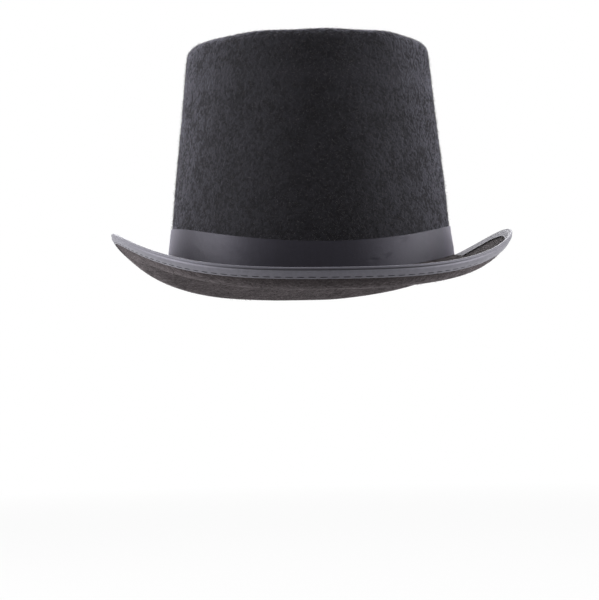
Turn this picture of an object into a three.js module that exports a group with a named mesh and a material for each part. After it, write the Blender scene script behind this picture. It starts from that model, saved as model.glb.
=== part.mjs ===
// A felt top hat: a pressed crown and a curled brim joined under a satin ribbon, a wired edge
// bound in folded satin tape, and a sweatband round the head opening.
// Millimetres, +Z up, the front towards -Y. The hat stands level on its brim's front and back.

import * as THREE from "three";
import { mergeVertices } from "three/addons/utils/BufferGeometryUtils.js";

// Driving dimensions, in millimetres, and degrees where a name says so

const CLEARANCE = 0.3; // left between pieces that touch

// Felt
const FELT = 2; // thickness of the crown and the brim

// Crown
const CROWN_HEIGHT = 145; // from the root at the sides up to the tip's edge
const ROOT_HALF_WIDTH = 97; // outside of the wall at the side roots, before its flare
const TIP_HALF_WIDTH = 82.5; // the same wall carried up to the tip
const OVAL = 7; // half-length less half-width
const ROOT_FLARE = 0.8; // how far the foot of the wall spreads
const ROOT_FLARE_REACH = 12; // height in which that spread dies away
const ROOT_DIP = 14.5; // how much lower the root runs at front and back than at the sides
const TIP_ROUND = 8; // radius of the tip's edge
const TIP_DOME = 2.5; // rise of the tip's middle above its edge
const TIP_LEVEL = 26; // half-width of the level middle of the tip

// Brim, measured along the cloth
const BRIM_SIDE = 45; // from the crown to the wire, at the sides
const BRIM_FRONT = 57.5; // the same at front and back
const SHELF_SIDE_DEGREES = -9; // slope of the flat stretch beside the crown
const SHELF_FRONT_DEGREES = -18;
const SHELF_SIDE = 3; // length of that stretch, before the roll starts
const SHELF_FRONT = 31;
const CURL_SIDE_DEGREES = 63; // slope that the roll reaches at the edge
const CURL_FRONT_DEGREES = 70;
const CURL_GATHER = 1.8; // how closely the curl keeps to the sides; 1 is an even swing
const COLLAR_HEIGHT = 14; // turned up inside the crown
const FOOT_CUT = 0.5; // depth of the flats that the hat stands on

// Edge: wire, its joiner and the folded tape
const WIRE_DIAMETER = 0.9;
const WIRE_END_GAP = 1; // between the wire's two ends, inside the joiner
const JOINER_WALL = 0.2;
const JOINER_BORE_CLEARANCE = 0.08;
const FOLD_CLEARANCE = 0.2; // between the wire or its joiner and the fold round it
const TAPE = 0.3; // thickness
const TAPE_FACE = 6.3; // from the wire's middle to the tape's stitched edge
const TAPE_WAIST = 0.4; // what the fold leaves open between the wire and the felt

// Ribbon
const RIBBON = 0.4;
const RIBBON_WIDTH = 19.5;
const RIBBON_LIFT = 0.3; // its lower edge above the crown's

// Sweatband
const SWEATBAND = 0.8;
const SWEATBAND_WIDTH = 32;
const SWEATBAND_EASE = 5; // height in which it leans out over the collar's top

// Where each strip's ends lap, in degrees round from the +X side; 90 is the back
const TAPE_LAP_DEGREES = 80;
const RIBBON_LAP_DEGREES = 105;
const SWEATBAND_LAP_DEGREES = 90;

// Faces
const SEGMENTS = 72; // round the hat
const WALL_HEIGHTS = [0, 0.03, 0.08, 0.2, 0.6, 1]; // shares of the wall, closer at its flare
const ROUND_STEPS = 4;
const SHELF_STEPS = 2;
const ROLL_STEPS = 7;
const NOSE_STEPS = 4;
const FOLD_NOSE_STEPS = 2;
const BEAD_STEPS = 6;
const WIRE_SIDES = 6;
const JOINER_SIDES = 8;

const { degToRad, clamp } = THREE.MathUtils;
const STEP = (2 * Math.PI) / SEGMENTS;
const FRONT = -Math.PI / 2;

const mix = (front, side, share) => front + (side - front) * share;
const steps = (count) => Array.from({ length: count + 1 }, (_, i) => i / count);

// The crown's oval wall. Its root is a saddle: lowest at front and back.

const rootHeight = (angle) => -ROOT_DIP * Math.sin(angle) ** 2;

const coneHalfWidth = (z) =>
  mix(ROOT_HALF_WIDTH, TIP_HALF_WIDTH, z / CROWN_HEIGHT);

function wallHalfWidth(angle, z) {
  const above = z - rootHeight(angle);
  return coneHalfWidth(z) + ROOT_FLARE * Math.exp(-above / ROOT_FLARE_REACH);
}

function ovalSpot(angle, halfWidth, z, oval = OVAL) {
  return new THREE.Vector3(
    halfWidth * Math.cos(angle),
    (halfWidth + oval) * Math.sin(angle),
    z,
  );
}

// A spot `out` from the wall's outer face and `up` from the root.
function wallSpot(angle, out, up) {
  const z = rootHeight(angle) + up;
  return ovalSpot(angle, wallHalfWidth(angle, z) + out, z);
}

function outward(angle) {
  const halfWidth = wallHalfWidth(angle, rootHeight(angle));
  return new THREE.Vector3(
    (halfWidth + OVAL) * Math.cos(angle),
    halfWidth * Math.sin(angle),
    0,
  ).normalize();
}

// The brim's middle surface: a sloping shelf, then a roll of one radius up to the edge.

const sideShare = (angle) => Math.abs(Math.cos(angle)) ** (2 * CURL_GATHER);

const brimWidth = (angle) => mix(BRIM_FRONT, BRIM_SIDE, Math.cos(angle) ** 2);

function brimCurve(angle) {
  const share = sideShare(angle);
  const slope = degToRad(mix(SHELF_FRONT_DEGREES, SHELF_SIDE_DEGREES, share));
  const curl = degToRad(mix(CURL_FRONT_DEGREES, CURL_SIDE_DEGREES, share));
  const shelf = mix(SHELF_FRONT, SHELF_SIDE, share);
  return { slope, shelf, roll: (curl - slope) / (brimWidth(angle) - shelf) };
}

// A spot `along` the brim's cloth from the crown and `up` from its middle surface.
function brimSpot(angle, along, up) {
  const { slope, shelf, roll } = brimCurve(angle);
  const rise = slope + roll * Math.max(along - shelf, 0);
  const straight = Math.min(along, shelf);
  const out =
    straight * Math.cos(slope) + (Math.sin(rise) - Math.sin(slope)) / roll;
  const height =
    straight * Math.sin(slope) + (Math.cos(slope) - Math.cos(rise)) / roll;
  const spot = wallSpot(angle, 0, 0);
  spot.addScaledVector(outward(angle), out - up * Math.sin(rise));
  spot.z += height + up * Math.cos(rise);
  return spot;
}

// The lowest line of the brim's underside, where the cloth at the front turns level.
function footLevel() {
  const { slope, shelf, roll } = brimCurve(FRONT);
  return brimSpot(FRONT, shelf - slope / roll, -FELT / 2).z + FOOT_CUT;
}

const FOOT_LEVEL = footLevel();

// The fold at the edge: a bead round the wire, then the tape round the felt's nose. They meet in a
// waist, which sets how far behind the wire's middle the middle of the nose lies.

const wireRadius = WIRE_DIAMETER / 2;
const joinerBore = wireRadius + JOINER_BORE_CLEARANCE;
const joinerRadius = joinerBore + JOINER_WALL;
const foldRadius = wireRadius + FOLD_CLEARANCE + TAPE / 2; // to the tape's middle
const tapeLevel = FELT / 2 + CLEARANCE + TAPE / 2; // of the flat tape's middle, from the felt's
const noseBehind =
  Math.sqrt((foldRadius - TAPE / 2) ** 2 - (TAPE_WAIST / 2) ** 2) +
  Math.sqrt((tapeLevel - TAPE / 2) ** 2 - (TAPE_WAIST / 2) ** 2);

// Solids from three.js shapes whose vertices are then pressed into place.

function closed(geometry) {
  geometry.deleteAttribute("normal");
  geometry.deleteAttribute("uv");
  const merged = mergeVertices(geometry, 1e-4);
  const corners = Array.from(merged.index.array);
  const kept = [];
  for (let i = 0; i < corners.length; i += 3) {
    const [a, b, c] = corners.slice(i, i + 3);
    if (a !== b && b !== c && c !== a) kept.push(a, b, c);
  }
  merged.setIndex(kept);
  merged.computeVertexNormals();
  return merged;
}

// A section revolved round the hat, changing shape as it goes: sectionAt(angle) lists its spots.
function revolved(sectionAt) {
  const profile = sectionAt(0).map(
    (spot) => new THREE.Vector2(Math.hypot(spot.x, spot.y), spot.z),
  );
  const geometry = new THREE.LatheGeometry(profile, SEGMENTS);
  const position = geometry.getAttribute("position");
  for (let i = 0; i <= SEGMENTS; i++) {
    sectionAt((i % SEGMENTS) * STEP).forEach((spot, j) =>
      position.setXYZ(i * profile.length + j, spot.x, spot.y, spot.z),
    );
  }
  return closed(geometry);
}

// Every vertex of a shape moved to place(x, y, z).
function pressed(geometry, place) {
  const position = geometry.getAttribute("position");
  for (let i = 0; i < position.count; i++) {
    const spot = place(position.getX(i), position.getY(i), position.getZ(i));
    position.setXYZ(i, spot.x, spot.y, spot.z);
  }
  return closed(geometry);
}

// A strip that goes once round the hat from lapDegrees and laps over its own start by one segment.
// place(angle, across, through, lift): across is a station, through is 0 or 1, lift is 0 to 1.
function lappedStrip(lapDegrees, across, place) {
  const first = Math.round(degToRad(lapDegrees) / STEP);
  const last = SEGMENTS + 1;
  const strip = new THREE.BoxGeometry(1, 1, 1, last, across, 1);
  return pressed(strip, (x, y, z) => {
    const station = Math.round((x + 0.5) * last);
    const lift = clamp(station - (SEGMENTS - 1), 0, 1);
    return place(
      (first + station) * STEP,
      Math.round((y + 0.5) * across),
      z + 0.5,
      lift,
    );
  });
}

// Crown

const wallTilt = Math.atan(
  (ROOT_HALF_WIDTH - TIP_HALF_WIDTH) / CROWN_HEIGHT,
);
const roundHeight = CROWN_HEIGHT - TIP_ROUND;
const roundHalfWidth =
  coneHalfWidth(roundHeight) - TIP_ROUND / Math.cos(wallTilt);

// The wall, from its lower edge up to the rounded tip edge, `inset` from its outer face.
function crownWall(angle, inset) {
  const low = rootHeight(angle) + FELT / 2 + CLEARANCE;
  const high = roundHeight + (TIP_ROUND - inset) * Math.sin(wallTilt);
  return WALL_HEIGHTS.slice(0, -1).map((share) => {
    const z = mix(low, high, share);
    return ovalSpot(angle, wallHalfWidth(angle, z) - inset, z);
  });
}

function crownRound(angle, inset) {
  const radius = TIP_ROUND - inset;
  return steps(ROUND_STEPS).map((share) => {
    const turn = mix(wallTilt, Math.PI / 2, share);
    return ovalSpot(
      angle,
      roundHalfWidth + radius * Math.cos(turn),
      roundHeight + radius * Math.sin(turn),
    );
  });
}

// The tip, from inside its rounded edge to the middle: a low dome with a level middle.
function crownTip(angle, inset) {
  const halfWidths = [mix(roundHalfWidth, TIP_LEVEL, 0.5), TIP_LEVEL, 0];
  return halfWidths.map((halfWidth) => {
    const fall = clamp(
      (halfWidth - TIP_LEVEL) / (roundHalfWidth - TIP_LEVEL),
      0,
      1,
    );
    return ovalSpot(
      angle,
      halfWidth,
      CROWN_HEIGHT - inset + TIP_DOME * (1 - fall ** 2),
      (OVAL * halfWidth) / roundHalfWidth,
    );
  });
}

function crownSection(angle) {
  const face = (inset) => [
    ...crownWall(angle, inset),
    ...crownRound(angle, inset),
    ...crownTip(angle, inset),
  ];
  return [...face(FELT).reverse(), ...face(0)];
}

// Brim, with its collar inside the crown

const noseCentre = (angle) => brimWidth(angle) - noseBehind;

function brimStations(angle) {
  const { shelf } = brimCurve(angle);
  const end = noseCentre(angle);
  return [
    ...steps(SHELF_STEPS).map((share) => share * shelf),
    ...steps(ROLL_STEPS)
      .slice(1)
      .map((share) => mix(shelf, end, share)),
  ];
}

function brimSection(angle) {
  const stations = brimStations(angle);
  const end = noseCentre(angle);
  const half = FELT / 2;
  const under = stations.map((along) => {
    const spot = brimSpot(angle, along, -half);
    spot.z = Math.max(spot.z, FOOT_LEVEL);
    return spot;
  });
  const nose = steps(NOSE_STEPS)
    .slice(1, -1)
    .map((share) => {
      const turn = Math.PI * (share - 0.5);
      return brimSpot(
        angle,
        end + half * Math.cos(turn),
        half * Math.sin(turn),
      );
    });
  const over = stations.map((along) => brimSpot(angle, along, half)).reverse();
  const outerFace = -FELT - CLEARANCE;
  const innerFace = outerFace - FELT;
  const collar = [
    wallSpot(angle, outerFace, half),
    wallSpot(angle, outerFace, COLLAR_HEIGHT),
    wallSpot(angle, innerFace, COLLAR_HEIGHT),
    wallSpot(angle, innerFace, half),
    wallSpot(angle, innerFace + 0.3 * FELT, -0.2 * FELT),
    wallSpot(angle, outerFace, -half),
  ];
  return [...under, ...nose, ...over, ...collar, under[0].clone()];
}

// Edge: everything is placed `out` past the wire's middle and `up` from it, on the brim's own curve,
// and straight from one segment's end to the next, so that what lies in the fold fits it.

function edgeSpot(angle, out, up) {
  const station = Math.floor(angle / STEP + 1e-9);
  const at = (k) => brimSpot(k * STEP, brimWidth(k * STEP) + out, up);
  return at(station).lerp(at(station + 1), angle / STEP - station);
}

const tapeLap = Math.round(degToRad(TAPE_LAP_DEGREES) / STEP);

// The joiner lies in the lap's first segment, and the fold swells over it.
function joinerBulge(angle) {
  const station = Math.round(angle / STEP - tapeLap) % SEGMENTS;
  return station < 2 ? joinerRadius - wireRadius : 0;
}

// One face of the tape, `off` from its middle: flat on the felt, round the felt's nose to the waist,
// round the wire in the same way, and back along the other side. The waist is where the two
// circles that it follows cross.
function tapeFace(off, bulge) {
  const bead = foldRadius + bulge + off;
  const nose = tapeLevel + off;
  const waistOut =
    (nose ** 2 - bead ** 2 - noseBehind ** 2) / (2 * noseBehind);
  const noseStart = Math.acos((waistOut + noseBehind) / nose);
  const sweep = Math.acos(waistOut / bead);
  const overNose = steps(FOLD_NOSE_STEPS)
    .slice(0, -1)
    .map((share) => {
      const turn = mix(Math.PI / 2, noseStart, share);
      return [nose * Math.cos(turn) - noseBehind, nose * Math.sin(turn)];
    });
  const roundWire = steps(BEAD_STEPS).map((share) => {
    const turn = sweep * (2 * share - 1);
    return [bead * Math.cos(turn), bead * Math.sin(turn)];
  });
  const upper = [[-TAPE_FACE, nose], ...overNose];
  const under = upper.map(([out, up]) => [out, -up]);
  return [...under, ...roundWire, ...upper.reverse()];
}

function edgeBinding() {
  const across = tapeFace(0, 0).length - 1;
  return lappedStrip(
    TAPE_LAP_DEGREES,
    across,
    (angle, place, through, lift) => {
      const off = (through - 0.5) * TAPE + lift * (TAPE + CLEARANCE);
      const [out, up] = tapeFace(off, joinerBulge(angle))[place];
      return edgeSpot(angle, out, up);
    },
  );
}

// The length of the edge between one station and the next.
function edgeLength(station) {
  return edgeSpot(station * STEP, 0, 0).distanceTo(
    edgeSpot((station + 1) * STEP, 0, 0),
  );
}

function brimWire() {
  const middle = (tapeLap + 0.5) * STEP;
  const halfGap = (WIRE_END_GAP / 2 / edgeLength(tapeLap)) * STEP;
  const stations = [middle + halfGap];
  for (let k = 1; k <= SEGMENTS; k++) stations.push((tapeLap + k) * STEP);
  stations.push(middle + 2 * Math.PI - halfGap);
  const count = stations.length - 1;
  const rod = new THREE.CylinderGeometry(1, 1, 1, WIRE_SIDES, count);
  return pressed(rod, (x, y, z) =>
    edgeSpot(
      stations[Math.round((y + 0.5) * count)],
      wireRadius * x,
      wireRadius * z,
    ),
  );
}

function wireJoiner() {
  const toCorner = 1 / Math.cos(Math.PI / JOINER_SIDES);
  const bore = joinerBore * toCorner;
  const profile = [
    [bore, 0],
    [joinerRadius, 0],
    [joinerRadius, 1],
    [bore, 1],
    [bore, 0],
  ].map(([radius, along]) => new THREE.Vector2(radius, along));
  const tube = new THREE.LatheGeometry(profile, JOINER_SIDES);
  return pressed(tube, (x, y, z) => edgeSpot((tapeLap + y) * STEP, x, z));
}

// Ribbon

function hatBand() {
  return lappedStrip(
    RIBBON_LAP_DEGREES,
    2,
    (angle, across, through, lift) => {
      const out = CLEARANCE + through * RIBBON + lift * (RIBBON + CLEARANCE);
      const low = FELT / 2 + CLEARANCE + RIBBON_LIFT;
      return wallSpot(angle, out, low + (across / 2) * RIBBON_WIDTH);
    },
  );
}

// Sweatband: against the collar below, then leaning out to the crown's wall above it

function sweatband() {
  const onCollar = -2 * FELT - 2 * CLEARANCE;
  const onWall = -FELT - CLEARANCE;
  const heights = [
    0,
    COLLAR_HEIGHT + CLEARANCE,
    COLLAR_HEIGHT + CLEARANCE + SWEATBAND_EASE,
    SWEATBAND_WIDTH,
  ];
  const outs = [onCollar, onCollar, onWall, onWall];
  return lappedStrip(
    SWEATBAND_LAP_DEGREES,
    heights.length - 1,
    (angle, across, through, lift) => {
      const inset = (1 - through) * SWEATBAND + lift * (SWEATBAND + CLEARANCE);
      return wallSpot(angle, outs[across] - inset, heights[across]);
    },
  );
}

// Materials, and the hat put together

const felt = { color: 0x242426, roughness: 1, metalness: 0 };
const satin = { color: 0x55555f, roughness: 0.42, metalness: 0 };
const steel = { color: 0x8a8a8c, roughness: 0.35, metalness: 1 };
const lining = { color: 0x1b1b1d, roughness: 0.85, metalness: 0 };

const hat = new THREE.Group();
hat.position.z = -FOOT_LEVEL;

function add(name, geometry, finish) {
  const mesh = new THREE.Mesh(
    geometry,
    new THREE.MeshStandardMaterial(finish),
  );
  mesh.name = name;
  hat.add(mesh);
}

add("crown", revolved(crownSection), felt);
add("brim", revolved(brimSection), felt);
add("hat_band", hatBand(), satin);
add("edge_binding", edgeBinding(), satin);
add("brim_wire", brimWire(), steel);
add("wire_joiner", wireJoiner(), steel);
add("sweatband", sweatband(), lining);

export default hat;
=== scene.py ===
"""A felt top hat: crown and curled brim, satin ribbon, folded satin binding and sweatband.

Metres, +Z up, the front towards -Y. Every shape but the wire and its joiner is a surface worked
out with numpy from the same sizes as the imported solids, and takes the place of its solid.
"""

import math

import bmesh
import bpy
import numpy as np
from mathutils import Matrix, Vector

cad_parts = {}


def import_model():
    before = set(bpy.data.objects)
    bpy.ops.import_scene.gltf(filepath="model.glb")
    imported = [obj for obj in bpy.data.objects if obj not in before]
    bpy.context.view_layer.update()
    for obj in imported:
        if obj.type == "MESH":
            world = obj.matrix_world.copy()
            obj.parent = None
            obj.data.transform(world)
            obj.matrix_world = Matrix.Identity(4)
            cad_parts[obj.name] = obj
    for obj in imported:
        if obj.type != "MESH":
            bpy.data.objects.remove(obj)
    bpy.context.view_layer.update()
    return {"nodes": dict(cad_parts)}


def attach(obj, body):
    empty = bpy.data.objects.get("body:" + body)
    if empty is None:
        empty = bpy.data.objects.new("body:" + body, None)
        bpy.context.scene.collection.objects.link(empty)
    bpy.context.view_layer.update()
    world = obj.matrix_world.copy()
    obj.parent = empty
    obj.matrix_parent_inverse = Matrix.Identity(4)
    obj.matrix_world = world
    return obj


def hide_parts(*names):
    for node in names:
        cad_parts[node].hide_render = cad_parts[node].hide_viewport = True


TURN = 2 * math.pi

# Felt
CLEARANCE = 0.0003
FELT = 0.002

# Crown
CROWN_HEIGHT = 0.145
ROOT_HALF_WIDTH = 0.097
TIP_HALF_WIDTH = 0.0825
OVAL = 0.007
ROOT_FLARE = 0.0008
ROOT_FLARE_REACH = 0.012
ROOT_DIP = 0.0145
TIP_ROUND = 0.008
TIP_DOME = 0.0025
TIP_LEVEL = 0.026
WALL_TOP = CROWN_HEIGHT - TIP_ROUND
WALL_LEAN = math.atan((ROOT_HALF_WIDTH - TIP_HALF_WIDTH) / CROWN_HEIGHT)
CROWN_RUN = CROWN_HEIGHT + TIP_HALF_WIDTH  # over the felt from the crown's foot to the tip's middle

# Brim, measured along the cloth
BRIM_SIDE = 0.045
BRIM_FRONT = 0.0575
SHELF_SIDE_SLOPE = math.radians(-9)
SHELF_FRONT_SLOPE = math.radians(-18)
SHELF_SIDE = 0.003
SHELF_FRONT = 0.031
CURL_SIDE = math.radians(63)
CURL_FRONT = math.radians(70)
CURL_GATHER = 1.8
COLLAR_HEIGHT = 0.014
FOOT_FLAT = 0.0005  # cut level where the brim stands
SWEATBAND_FACE = -2 * FELT - 2 * CLEARANCE  # from the wall's outer face in to the sweatband

# The felt's slow unevenness
SWELL_WAVES = 8
SWELL_PACE = 90  # radians a metre across the felt, at most
CROWN_SWELL = 0.00035
CROWN_SWELL_START = 0.028, 0.05  # along from the foot, where it begins and where it is whole
CROWN_SWELL_END = 0.05  # from the tip's middle, where it starts to die away
BRIM_SWELL = 0.0003
BRIM_SWELL_START = 0.002, 0.012  # along from the crown
BRIM_SWELL_END = 0.008, 0.016  # back from the felt's nose

# Folded tape: a bead round the wire, then round the felt's nose, meeting in a waist
WIRE_RADIUS = 0.00045
FOLD_CLEARANCE = 0.0002
TAPE = 0.0003
TAPE_FACE = 0.0059  # from the wire's middle to the stitched edge, as the photograph shows it
TAPE_WAIST = 0.0004  # left open between the wire and the felt
TAPE_LEVEL = FELT / 2 + CLEARANCE + TAPE / 2
FOLD_RADIUS = WIRE_RADIUS + FOLD_CLEARANCE + TAPE / 2
JOINER_BULGE = 0.00028
NOSE_BEHIND = math.sqrt((FOLD_RADIUS - TAPE / 2) ** 2 - (TAPE_WAIST / 2) ** 2) + math.sqrt(
    (TAPE_LEVEL - TAPE / 2) ** 2 - (TAPE_WAIST / 2) ** 2
)

# Running stitch, and what it and the curl do to the tape
STITCH_INSET = 0.00105  # from the tape's edge
STITCH_ROW = STITCH_INSET - TAPE_FACE
STITCH_PITCH = 0.0071
STITCH_LENGTH = 0.0051
STITCH_DIVE = 0.0003  # of its ends under the tape's face
STITCH_STAND = 0.00002  # of its middle over the face
STITCH_DRAW = 0.00012  # deeper at both sides, where the brim curls
STITCH_HIDE = 0.00034  # deeper again on the +X side
THREAD = 0.00027  # radius
CHANNEL_REACH = 0.0006
CHANNEL_DEPTH = 0.00008
ENTRY_DEPTH = 0.00006  # more of it, where the thread goes in
PUCKER = 0.000025
PUCKER_REACH = 0.0034
RIPPLE = 0.00006
RIPPLE_PITCH = 0.0053

# Ribbon
RIBBON = 0.0004
RIBBON_WIDTH = 0.0195
RIBBON_LOW = FELT / 2 + 0.0001
RIBBON_SLACK = 0.00012
SOFT_CREASES = 16
SOFT_CREASE_SIZE = 0.009, 0.0022  # reach along the ribbon, girth across it
SOFT_CREASE_HEIGHT = 0.00008, 0.00025  # least and most
SEEN_CREASES = (287.5, 0.3, 0), (292.5, 0.4, 0.3), (301, 0.86, 0.15)  # degrees, height, slant
SEEN_CREASE_SIZE = 0.0035, 0.0008
SEEN_CREASE_DEPTH = 0.00042

# Sweatband
SWEATBAND = 0.0008
SWEATBAND_WIDTH = 0.032
SWEATBAND_EASE = 0.005
SWEATBAND_SLACK = 0.0001
SWEATBAND_STITCHES = 150

# Loose fibres
FIBRE = 0.00006  # radius
FIBRE_ROOT = 0.00012  # how deep in the felt a fibre starts
FIBRE_STATIONS = 0, 0.35, 0.7, 1.0  # along its middle line
FIBRE_SPREAD = 1.5  # radians, where they lie every way
FIBRE_MARGIN = 0.0005  # left bare above the ribbon, and twice as much inside the tape
EDGE_SHARE = 0.35  # of the tip's fibres, round its edge

# Where the strips lap, round from the +X side; a quarter turn is the back
TAPE_LAP = math.radians(80)
RIBBON_LAP = math.radians(105)
SWEATBAND_LAP = math.radians(90)
LAP_LENGTH = math.radians(5)
LAP_EASE = math.radians(3)
LAP_GAP = 0.0001

# Stations of the meshes
ROUND = 288  # round the felt
WALL_STEPS = 60
TIP_EDGE_STEPS = 12
TIP_STEPS = 26
BRIM_STEPS = 44
BRIM_NOSE_STEPS = 9
COLLAR_STEPS = 8
TAPE_STATIONS = 1100
FLAT_STEPS = 11  # of the tape on the felt
NOSE_STEPS = 6
BEAD_STEPS = 15  # over the bead, from waist to waist
STRIP_STATIONS = 720  # round the ribbon and the sweatband
RIBBON_STEPS = 28
SWEATBAND_STEPS = 34


# The hat's form


def stacked(x, y, z):
    return np.stack(np.broadcast_arrays(x, y, z), axis=-1)


def unit(vectors):
    return vectors / np.linalg.norm(vectors, axis=-1, keepdims=True)


def smooth(low, high, value):
    """A swell from 0 at low to 1 at high: 3 t squared less 2 t cubed."""
    t = np.clip((value - low) / (high - low), 0, 1)
    return t * t * (3 - 2 * t)


def mix(first, second, share):
    return first + (second - first) * share


def root_height(angle):
    """The crown's root, a saddle: it dips with the square of the angle's sine."""
    return -ROOT_DIP * np.sin(angle) ** 2


def cone_half_width(z):
    """The wall's straight taper from its root to the tip."""
    return mix(ROOT_HALF_WIDTH, TIP_HALF_WIDTH, z / CROWN_HEIGHT)


def wall_half_width(angle, z):
    """The taper, spread at its foot by a flare that dies away exponentially upwards."""
    above = z - root_height(angle)
    return cone_half_width(z) + ROOT_FLARE * np.exp(-above / ROOT_FLARE_REACH)


def oval_point(angle, half_width, z, oval=OVAL):
    """An ellipse whose half-length is oval more than its half-width."""
    return stacked(half_width * np.cos(angle), (half_width + oval) * np.sin(angle), z)


def wall_point(angle, out, up):
    """out from the wall's outer face, up from the root."""
    z = root_height(angle) + up
    return oval_point(angle, wall_half_width(angle, z) + out, z)


def outward(angle):
    """The level direction square to the root's oval."""
    half_width = wall_half_width(angle, root_height(angle))
    x = (half_width + OVAL) * np.cos(angle)
    y = half_width * np.sin(angle)
    return unit(stacked(x, y, 0 * angle))


def brim_width(angle):
    return mix(BRIM_FRONT, BRIM_SIDE, np.cos(angle) ** 2)


def side_share(angle):
    """1 at the sides and 0 at front and back, gathered to the sides by a power of the cosine."""
    return np.abs(np.cos(angle)) ** (2 * CURL_GATHER)


def brim_curve(angle):
    """The shelf's slope, its length, and the curvature of the roll beyond it."""
    share = side_share(angle)
    slope = mix(SHELF_FRONT_SLOPE, SHELF_SIDE_SLOPE, share)
    curl = mix(CURL_FRONT, CURL_SIDE, share)
    shelf = mix(SHELF_FRONT, SHELF_SIDE, share)
    return slope, shelf, (curl - slope) / (brim_width(angle) - shelf)


def brim_point(angle, along, up):
    """along the cloth from the crown, up from its middle: a straight shelf, then a round roll."""
    slope, shelf, roll = brim_curve(angle)
    rise = slope + roll * np.maximum(along - shelf, 0)
    straight = np.minimum(along, shelf)
    out = straight * np.cos(slope) + (np.sin(rise) - np.sin(slope)) / roll
    height = straight * np.sin(slope) + (np.cos(slope) - np.cos(rise)) / roll
    out = out - up * np.sin(rise)
    height = height + up * np.cos(rise)
    lift = stacked(0 * height, 0 * height, height)
    return wall_point(angle, 0, 0) + outward(angle) * out[..., None] + lift


def edge_point(angle, out, up):
    """out past the bead's middle, up from it, on the brim's own curve."""
    return brim_point(angle, brim_width(angle) + out, up)


def swells(angle, along, amplitude, seed):
    """Slow unevenness of pressed felt: a few sines of 2 to 12 whole turns round the hat."""
    rng = np.random.default_rng(seed)
    total = 0 * (angle + along)
    for _ in range(SWELL_WAVES):
        turns = rng.integers(2, 13)
        pace = rng.uniform(-SWELL_PACE, SWELL_PACE)
        total = total + np.sin(turns * angle + pace * along + rng.uniform(0, TURN))
    return total * amplitude / 3


# Meshes


def surface(name, points, uv, around=False, across=False):
    """A mesh of quads between neighbours in a grid of points, rows by columns.

    around joins the last row to the first and across each row's end to its start. uv is the pair
    of lengths at the grid's lines, with one more line where it joins. Faces are turned so that the
    volume they close is positive.
    """
    rows, columns = points.shape[:2]
    i = np.arange(rows if around else rows - 1)[:, None]
    j = np.arange(columns if across else columns - 1)[None, :]
    i, j = (grid.ravel() for grid in np.broadcast_arrays(i, j))
    down, right = (i + 1) % rows, (j + 1) % columns
    faces = np.stack(
        [i * columns + j, down * columns + j, down * columns + right, i * columns + right], axis=-1
    )
    u, v = uv
    corners = np.stack(
        [
            np.stack([u[i], v[j]], -1),
            np.stack([u[i + 1], v[j]], -1),
            np.stack([u[i + 1], v[j + 1]], -1),
            np.stack([u[i], v[j + 1]], -1),
        ],
        axis=1,
    )
    spots = points.reshape(-1, 3)
    a, b, c, d = (spots[faces[:, k]] for k in range(4))
    volume = np.sum(a * np.cross(b, c)) + np.sum(a * np.cross(c, d))
    if volume < 0:
        faces, corners = faces[:, ::-1], corners[:, ::-1]
    return made(name, spots, faces, corners.reshape(-1, 2))


def made(name, spots, faces, corners=None):
    """A smooth mesh object from points and faces, with points that lie together merged."""
    mesh = bpy.data.meshes.new(name)
    mesh.from_pydata(spots.tolist(), [], faces.tolist())
    if corners is not None:
        layer = mesh.uv_layers.new(name="cloth")
        layer.data.foreach_set("uv", np.ascontiguousarray(corners, np.float32).ravel())
    mesh.polygons.foreach_set("use_smooth", np.ones(len(mesh.polygons), bool))
    piece = bpy.data.objects.new(name, mesh)
    bpy.context.scene.collection.objects.link(piece)
    merge_doubles(mesh)
    return piece


def merge_doubles(mesh):
    work = bmesh.new()
    work.from_mesh(mesh)
    bmesh.ops.remove_doubles(work, verts=work.verts, dist=1e-6)
    work.to_mesh(mesh)
    work.free()


def lengths(points):
    """Running length along a line of points."""
    steps = np.linalg.norm(np.diff(points, axis=0), axis=-1)
    return np.concatenate([[0], np.cumsum(steps)])


def strip(name, outer, inner):
    """A closed strip of cloth between two grids of points, [along, across].

    The faces draw together over the last rows, so both ends are rounded shut.
    """
    middle = (outer + inner) / 2
    open_share = np.ones((len(outer), 1, 1))
    open_share[[0, -1]] = 0
    open_share[[1, -2]] = 0.8
    faces = [middle + (face - middle) * open_share for face in (outer, inner)]
    points = np.concatenate([faces[0], faces[1][:, ::-1]], axis=1)
    u = lengths(middle[:, middle.shape[1] // 2])
    v = lengths(middle[len(middle) // 2])
    around = np.concatenate([v, v[::-1], v[:1]])
    return surface(name, points, (u, around), across=True)


# Felt


def felt_angles():
    """The felt's stations round the hat, as a column."""
    return (np.arange(ROUND) * TURN / ROUND)[:, None]


def felt_lengths():
    """Lengths round the crown's foot at the felt's stations, and once more where they join."""
    return np.arange(ROUND + 1) * TURN * ROOT_HALF_WIDTH / ROUND


def tip_half_width():
    """Half the tip's width inside its rounded edge."""
    return cone_half_width(WALL_TOP) - TIP_ROUND / math.cos(WALL_LEAN)


def tip_rise(half_width):
    """The tip's dome: level in the middle, then falling with a square towards the edge."""
    fall = np.clip((half_width - TIP_LEVEL) / (tip_half_width() - TIP_LEVEL), 0, 1)
    return TIP_DOME * (1 - fall**2)


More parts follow.
